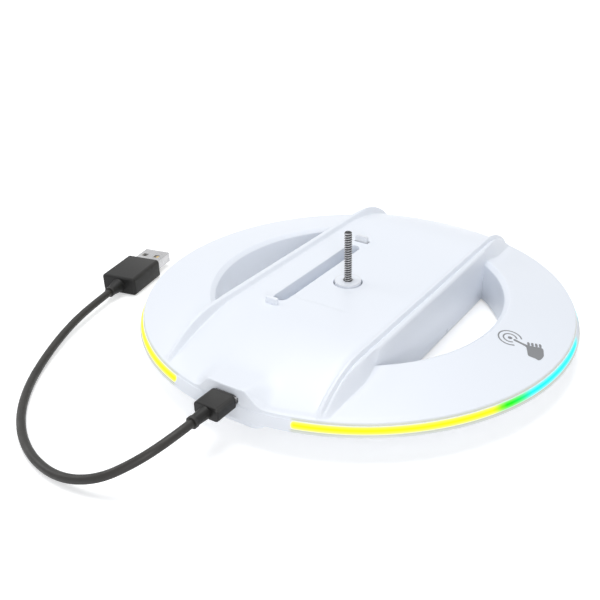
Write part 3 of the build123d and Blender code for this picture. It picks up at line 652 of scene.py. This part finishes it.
    def column(v, family):
        """The chain of vertices down from an edge vertex."""
        key = (v, family)
        if key in made:
            return made[key]
        x, y, z = verts[v]
        low, steps = depth[family]
        spread = rows[family]
        chain = [v]
        places = [(off, z - drop, off) for off, drop in spread[1:]]
        off, last = spread[-1][0], z - spread[-1][1]
        places += [(off, last + (low - last) * t / steps, off) for t in range(1, steps + 1)]
        for off, height, _ in places:
            if family == "lip":
                radius = LIP_EDGE_R - off
                if k[v] == 6:
                    reach = math.sqrt(radius ** 2 - HALF_X ** 2)
                    nx, ny = x, y * reach / corner_y
                else:
                    half = math.atan2(math.sqrt(radius ** 2 - HALF_X ** 2), HALF_X)
                    base = 0.0 if x > 0 else math.pi
                    turn = math.atan2(y, x) - base
                    turn = (turn + math.pi) % (2 * math.pi) - math.pi
                    turn *= half / outer_half
                    nx, ny = radius * math.cos(base + turn), radius * math.sin(base + turn)
            elif family == "rim":
                r = math.hypot(x, y)
                lean = max(0.0, RIM_TOP_Z - 0.4 - height) * (RIM_R - RIM_TOP_R) / (RIM_TOP_Z - RIM_LOW_Z)
                radius = RIM_TOP_R - 0.4 + off + lean
                nx, ny = x / r * radius, y / r * radius
            else:
                way = [(a, b) for name, _, a, b in shapes(np.array(x), np.array(y)) if name == family]
                nx, ny = (x + way[0][0] * off, y + way[0][1] * off) if way else (x, y)
            verts.append([float(nx), float(ny), float(height)])
            chain.append(len(verts) - 1)
        made[key] = chain
        return chain

    def family_of(p, q):
        both = {names[k[p]], names[k[q]]}
        for name in ("rim", "slot", "hole", "window"):
            if name in both:
                return name
        return "lip"

    port = []
    slot_bottom = []
    for p, q in rims:
        family = family_of(p, q)
        one, two = column(p, family), column(q, family)
        if family == "slot":
            slot_bottom.append((one[-1], two[-1]))
        for level in range(len(one) - 1):
            face = (two[level], one[level], one[level + 1], two[level + 1])
            if family == "rim" and level > 3 and verts[one[-1]][1] < -80 and abs(verts[one[-1]][0]) < 8:
                port.append(face)
            else:
                faces.append(face)

    # The port's mouth is cut in the wall between the light strip's ends.
    moved = {}
    half_w, half_h = PORT_HALF
    for face in port:
        for v in face:
            if v in moved:
                continue
            x, y, z = verts[v]
            px = min(max(x, -half_w + half_h), half_w - half_h)
            d = math.hypot(x - px, z - PORT_Z) + 1e-9
            gap = d - half_h
            if abs(gap) < 0.3:
                nx = px + (x - px) / d * half_h
                nz = PORT_Z + (z - PORT_Z) / d * half_h
                verts[v] = [nx, -math.sqrt(max(x * x + y * y - nx * nx, 1.0)), nz]
                moved[v] = 0
            else:
                moved[v] = 1 if gap > 0 else -1
    for face in port:
        for tri in ((face[0], face[1], face[2]), (face[0], face[2], face[3])):
            marks = [moved[v] for v in tri]
            if min(marks) >= 0 and max(marks) > 0:
                faces.append(tri)
            elif max(marks) == 0:
                cx = sum(verts[v][0] for v in tri) / 3
                cz = sum(verts[v][2] for v in tri) / 3
                px = min(max(cx, -half_w + half_h), half_w - half_h)
                if math.hypot(cx - px, cz - PORT_Z) > half_h:
                    faces.append(tri)

    # Floor of the slot.
    cx, _, y0, y1 = SLOT
    verts.append([cx, (y0 + y1) / 2, SLOT_FLOOR_Z])
    centre = len(verts) - 1
    faces += [(p, q, centre) for p, q in slot_bottom]

    used = sorted({v for face in faces for v in face})
    index = {v: n for n, v in enumerate(used)}
    return make_piece("cover_outside", [verts[v] for v in used], [[index[v] for v in face] for face in faces],
                      "white_shell", sharp=42.0)


cover = build_cover()
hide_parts("top_cover")


def lathe(profile, count, centre=(0.0, 0.0), closed=False):
    """Rings of vertices about a vertical line, from (radius, height) pairs, with the faces between them."""
    verts, faces = [], []
    for r, z in profile:
        for k in range(count):
            turn = 2 * math.pi * k / count
            verts.append((centre[0] + r * math.cos(turn), centre[1] + r * math.sin(turn), z))
    steps = len(profile) if closed else len(profile) - 1
    for i in range(steps):
        j = (i + 1) % len(profile)
        for k in range(count):
            m = (k + 1) % count
            faces.append((i * count + k, j * count + k, j * count + m, i * count + m))
    return verts, faces


def fix_normals(obj):
    bm = bmesh.new()
    bm.from_mesh(obj.data)
    bmesh.ops.recalc_face_normals(bm, faces=bm.faces)
    bm.to_mesh(obj.data)
    bm.free()


# ---- Light strip --------------------------------------------------------------------------
def build_band():
    """The frosted band round the rim, a shallow tube section closed all round."""
    def face_r(z):
        return RIM_R - (z - RIM_LOW_Z) * (RIM_R - RIM_TOP_R) / (RIM_TOP_Z - RIM_LOW_Z)
    count = 16
    outer = []
    for k in range(count + 1):
        z = LIGHT_LOW_Z + (LIGHT_TOP_Z - LIGHT_LOW_Z) * k / count
        outer.append((face_r(z) + 0.03 * math.sin(math.pi * k / count), z))
    inner = [(face_r(LIGHT_TOP_Z) - 1.5, LIGHT_TOP_Z), (face_r(LIGHT_TOP_Z) - 1.5, LIGHT_LOW_Z)]
    verts, faces = lathe(outer + inner, 720, closed=True)
    band = make_piece("light_band", verts, faces, "light_strip", sharp=50.0)
    fix_normals(band)
    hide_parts("light_diffuser")


build_band()


# ---- Collar, lugs, screw ----------------------------------------------------------------------
def build_collar():
    x, y, _ = HOLE
    profile = [(1.95, 22.6), (1.95, COLLAR_TOP - 0.18), (2.03, COLLAR_TOP - 0.04), (2.2, COLLAR_TOP + 0.02)]
    r = COLLAR_R + 0.03
    for k in range(9):
        turn = math.pi / 2 * k / 8
        profile.append((r - 0.7 + 0.7 * math.sin(turn), COLLAR_TOP + 0.02 - 0.7 + 0.7 * math.cos(turn)))
    profile += [(r, 21.2)]
    verts, faces = lathe(profile, 128, (x, y))
    fix_normals(make_piece("collar_face", verts, faces, "white_shell", sharp=60.0))


build_collar()


def rounded_block(name, centre, size, radius, slot, steps=5):
    """Block with every edge rounded, from a sphere's directions pushed out to the block's corners."""
    verts, faces = [], []
    hx, hy, hz = (max(s / 2 - radius, 0.0) for s in size)
    rings = 2 * steps
    for i in range(rings + 1):
        tilt = -math.pi / 2 + math.pi * i / rings
        for level in ((-1, 1) if i == steps else ((-1,) if i < steps else (1,))):
            for q in range(4):
                for k in range(steps + 1):
                    turn = math.pi / 2 * (q + k / steps)
                    sx = 1 if q in (0, 3) else -1
                    sy = 1 if q in (0, 1) else -1
                    verts.append((
                        centre[0] + sx * hx + radius * math.cos(tilt) * math.cos(turn),
                        centre[1] + sy * hy + radius * math.cos(tilt) * math.sin(turn),
                        centre[2] + level * hz + radius * math.sin(tilt),
                    ))
    count = 4 * (steps + 1)
    levels = len(verts) // count
    for i in range(levels - 1):
        for k in range(count):
            m = (k + 1) % count
            faces.append((i * count + k, i * count + m, (i + 1) * count + m, (i + 1) * count + k))
    faces.append(tuple(reversed(range(count))))
    faces.append(tuple((levels - 1) * count + k for k in range(count)))
    return make_piece(name, verts, faces, slot, sharp=60.0)


for lug_name, lug_y, grow in (("lug_front", LUG_FRONT_Y, 0.0), ("lug_rear", LUG_REAR_Y, -0.2)):
    width, thick, high = LUG_SIZE
    lug_centre = (SLOT[0], lug_y, DECK_Z + high / 2 - 1.2)
    lug_size = (width + grow, thick + grow, high + 2.4 + grow)
    rounded_block(lug_name, lug_centre, lug_size, 0.7, "white_shell")


def build_screw():
    """Threaded rod with a chamfered, flat top, and the plain shank below it."""
    x, y, _ = HOLE
    low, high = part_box("console_screw")
    top = high[2] / MM
    around, per_turn = 48, 10
    verts, faces = [], []
    turns = (top - 0.35 - THREAD_BOTTOM) / THREAD_PITCH
    rows = int(turns * per_turn)

    def point(r, z, k):
        turn = 2 * math.pi * k / around
        return (x + r * math.cos(turn), y + r * math.sin(turn), z)

    for r, z in ((SHANK_R, SCREW_BOTTOM), (SHANK_R, THREAD_BOTTOM - 0.3), (SHANK_R + 0.08, THREAD_BOTTOM)):
        verts += [point(r, z, k) for k in range(around)]
    first = THREAD_BOTTOM + 0.02
    for i in range(rows + 1):
        z = first + i * THREAD_PITCH / per_turn
        for k in range(around):
            phase = (z / THREAD_PITCH - k / around) % 1.0
            tooth = 1 - abs(2 * phase - 1)
            tooth = min(1.0, max(0.0, (tooth - 0.12) / 0.72))
            verts.append(point(SCREW_R - THREAD_DEPTH * (1 - tooth), z, k))
    last = first + rows * THREAD_PITCH / per_turn
    for r, z in ((SCREW_R - 0.12, last + 0.04), (SCREW_R - 0.16, top - 0.12), (SCREW_R - 0.3, top),
                 (SCREW_R - 0.42, top), (SCREW_R - 0.5, top - 0.06), (0.3, top - 0.08), (0.01, top - 0.08)):
        verts += [point(r, z, k) for k in range(around)]
    levels = len(verts) // around
    for i in range(levels - 1):
        for k in range(around):
            m = (k + 1) % around
            faces.append((i * around + k, i * around + m, (i + 1) * around + m, (i + 1) * around + k))
    faces.append(tuple(reversed(range(around))))
    faces.append(tuple((levels - 1) * around + k for k in range(around)))
    screw = make_piece("screw_thread", verts, faces, "thread_steel", body="screw", sharp=30.0)
    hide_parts("console_screw")


build_screw()


# ---- Touch mark ---------------------------------------------------------------------------
def build_mark():
    """Printed mark over the touch sensor: rings of a press, and a pointing hand."""
    turn = math.radians(ICON_ANGLE)
    centre = Vector((ICON_R * math.cos(turn), ICON_R * math.sin(turn)))
    outward = Vector((math.cos(turn), math.sin(turn)))
    across = Vector((-math.sin(turn), math.cos(turn)))
    verts, faces = [], []

    def place(u, v):
        p = centre + outward * u + across * v
        z = float(cover_height(np.array(p.x), np.array(p.y))) + 0.03
        return (p.x, p.y, z)

    def arc(radius, width, start, end, count=40):
        base = len(verts)
        for k in range(count + 1):
            t = math.radians(start + (end - start) * k / count)
            for rr in (radius - width / 2, radius, radius + width / 2):
                verts.append(place(rr * math.cos(t), rr * math.sin(t)))
        for k in range(count):
            for m in range(2):
                a = base + 3 * k + m
                faces.append((a, a + 3, a + 4, a + 1))

    arc(4.1, 0.55, 35, 318, 64)
    arc(2.35, 0.55, 30, 322, 48)
    arc(0.4, 0.8, 0, 360, 24)

    def blob(points, steps=6):
        """Filled rounded outline through the given points."""
        ring = []
        n = len(points)
        for i in range(n):
            p0, p1, p2, p3 = (Vector(points[(i + j - 1) % n]) * 0.86 for j in range(4))
            for k in range(steps):
                t = k / steps
                ring.append(0.5 * ((2 * p1) + (p2 - p0) * t + (2 * p0 - 5 * p1 + 4 * p2 - p3) * t * t
                                   + (3 * p1 - p0 - 3 * p2 + p3) * t ** 3))
        base = len(verts)
        verts.extend(place(p.x + 0.2, p.y) for p in ring)
        faces.append(tuple(range(base, base + len(ring))))

    blob([(1.6, 0.6), (4.0, 0.65), (6.8, 0.9), (8.6, 1.6), (10.6, 2.8), (12.3, 3.7), (13.3, 3.0), (14.2, 1.3),
          (15.1, -0.6), (15.3, -3.0), (14.8, -4.8), (13.2, -4.8), (11.4, -5.2), (10.3, -5.1), (9.4, -3.8),
          (8.3, -2.0), (7.0, -0.6), (4.0, -0.45), (1.6, -0.5)])
    lean, side = Vector((-0.5, 0.86)), Vector((0.86, 0.5))
    for k in range(4):
        foot = Vector((7.3 + 1.35 * k, 1.75 + 0.85 * k))
        outline = [(-0.45, -0.6), (-0.5, 1.1), (0.0, 1.55), (0.5, 1.1), (0.45, -0.6), (0.0, -0.8)]
        blob([tuple(foot + side * s + lean * t) for s, t in outline])
    mark = make_piece("touch_mark", verts, faces, "port_plastic", sharp=60.0)
    return mark


build_mark()


# ---- Cord ----------------------------------------------------------------------------------
def build_cord():
    curve = bpy.data.curves.new("usb_lead", "CURVE")
    curve.dimensions = "3D"
    curve.bevel_depth = CORD_R * MM
    curve.bevel_resolution = 8
    curve.resolution_u = 24
    curve.use_fill_caps = True
    spline = curve.splines.new("NURBS")
    spline.points.add(len(CORD_POINTS) - 1)
    for point, place in zip(spline.points, CORD_POINTS):
        point.co = (*(c * MM for c in place), 1.0)
    spline.order_u = 3
    spline.use_endpoint_u = True
    cord = bpy.data.objects.new("usb_lead", curve)
    bpy.context.collection.objects.link(cord)
    curve.materials.append(LOOKS["cable_jacket"])
    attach(cord, "cable")
    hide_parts("usb_cord")


build_cord()


# ---- Floor and light --------------------------------------------------------------------------
def build_stage():
    size, cells = 3.0, 24
    verts = [((i / cells - 0.5) * size, (j / cells - 0.5) * size, -0.0001)
             for i in range(cells + 1) for j in range(cells + 1)]
    row = cells + 1
    faces = [(i * row + j, (i + 1) * row + j, (i + 1) * row + j + 1, i * row + j + 1)
             for i in range(cells) for j in range(cells)]
    mesh = bpy.data.meshes.new("floor")
    mesh.from_pydata(verts, [], faces)
    floor = bpy.data.objects.new("floor", mesh)
    bpy.context.collection.objects.link(floor)
    n = Nodes("floor_white")
    pale = n.ramp(n.noise(2.0), [(0.3, (0.9, 0.9, 0.9)), (0.7, (0.91, 0.91, 0.91))])
    n.link(pale, n.shader.inputs["Base Color"])
    n.shader.inputs["Roughness"].default_value = 0.9
    n.shader.inputs["Specular IOR Level"].default_value = 0.0
    path = n.add("ShaderNodeLightPath")
    seen = n.math("MAXIMUM", path.outputs["Is Camera Ray"], path.outputs["Is Glossy Ray"])
    n.shader.inputs["Emission Color"].default_value = (1, 1, 1, 1)
    split = n.add("ShaderNodeSeparateXYZ")
    n.link(n.coord, split.inputs[0])
    x, y, _ = split.outputs
    away = n.math("SQRT", n.math("ADD", n.math("MULTIPLY", x, x), n.math("MULTIPLY", y, y)))
    n.link(n.math("MULTIPLY", seen, n.span(away, 0.1, 0.4, 0.42, 1.0)), n.shader.inputs["Emission Strength"])
    mesh.materials.append(n.mat)
    floor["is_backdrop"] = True


build_stage()


WORLD_STRENGTH = 0.42
SOFTBOXES = [   # name, place, target, width in metres, power in watts
    ("softbox_top", (-0.15, 0.1, 0.9), (0, 0, 0), 0.6, 4.1),
    ("softbox_left", (-0.9, -0.2, 0.55), (0, 0, 0.01), 0.5, 1.6),
    ("softbox_front", (0.75, -1.0, 0.5), (0, 0, 0.01), 0.5, 5.2),
]


def build_lights():
    world = bpy.data.worlds.new("studio")
    bpy.context.scene.world = world
    world.use_nodes = True
    tree = world.node_tree
    tree.nodes.clear()
    out = tree.nodes.new("ShaderNodeOutputWorld")
    lamp = tree.nodes.new("ShaderNodeBackground")
    lamp.inputs[0].default_value = (0.93, 0.96, 1.0, 1)
    lamp.inputs[1].default_value = WORLD_STRENGTH
    white = tree.nodes.new("ShaderNodeBackground")
    white.inputs[0].default_value = (1, 1, 1, 1)
    white.inputs[1].default_value = 1.0
    path = tree.nodes.new("ShaderNodeLightPath")
    seen = tree.nodes.new("ShaderNodeMath")
    seen.operation = "MAXIMUM"
    more = tree.nodes.new("ShaderNodeMath")
    more.operation = "MAXIMUM"
    mix = tree.nodes.new("ShaderNodeMixShader")
    tree.links.new(path.outputs["Is Camera Ray"], seen.inputs[0])
    tree.links.new(path.outputs["Is Glossy Ray"], seen.inputs[1])
    tree.links.new(seen.outputs[0], more.inputs[0])
    tree.links.new(path.outputs["Is Transmission Ray"], more.inputs[1])
    tree.links.new(more.outputs[0], mix.inputs[0])
    tree.links.new(lamp.outputs[0], mix.inputs[1])
    tree.links.new(white.outputs[0], mix.inputs[2])
    tree.links.new(mix.outputs[0], out.inputs[0])

    def area(name, place, target, size, power):
        data = bpy.data.lights.new(name, "AREA")
        data.shape = "DISK"
        data.size = size
        data.energy = power
        lamp_obj = bpy.data.objects.new(name, data)
        bpy.context.collection.objects.link(lamp_obj)
        lamp_obj.location = place
        way = Vector(target) - Vector(place)
        lamp_obj.rotation_euler = way.to_track_quat("-Z", "Y").to_euler()

    for name, place, target, size, power in SOFTBOXES:
        area(name, place, target, size, power)


build_lights()

bpy.context.scene.view_settings.view_transform = "Standard"

low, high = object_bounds()
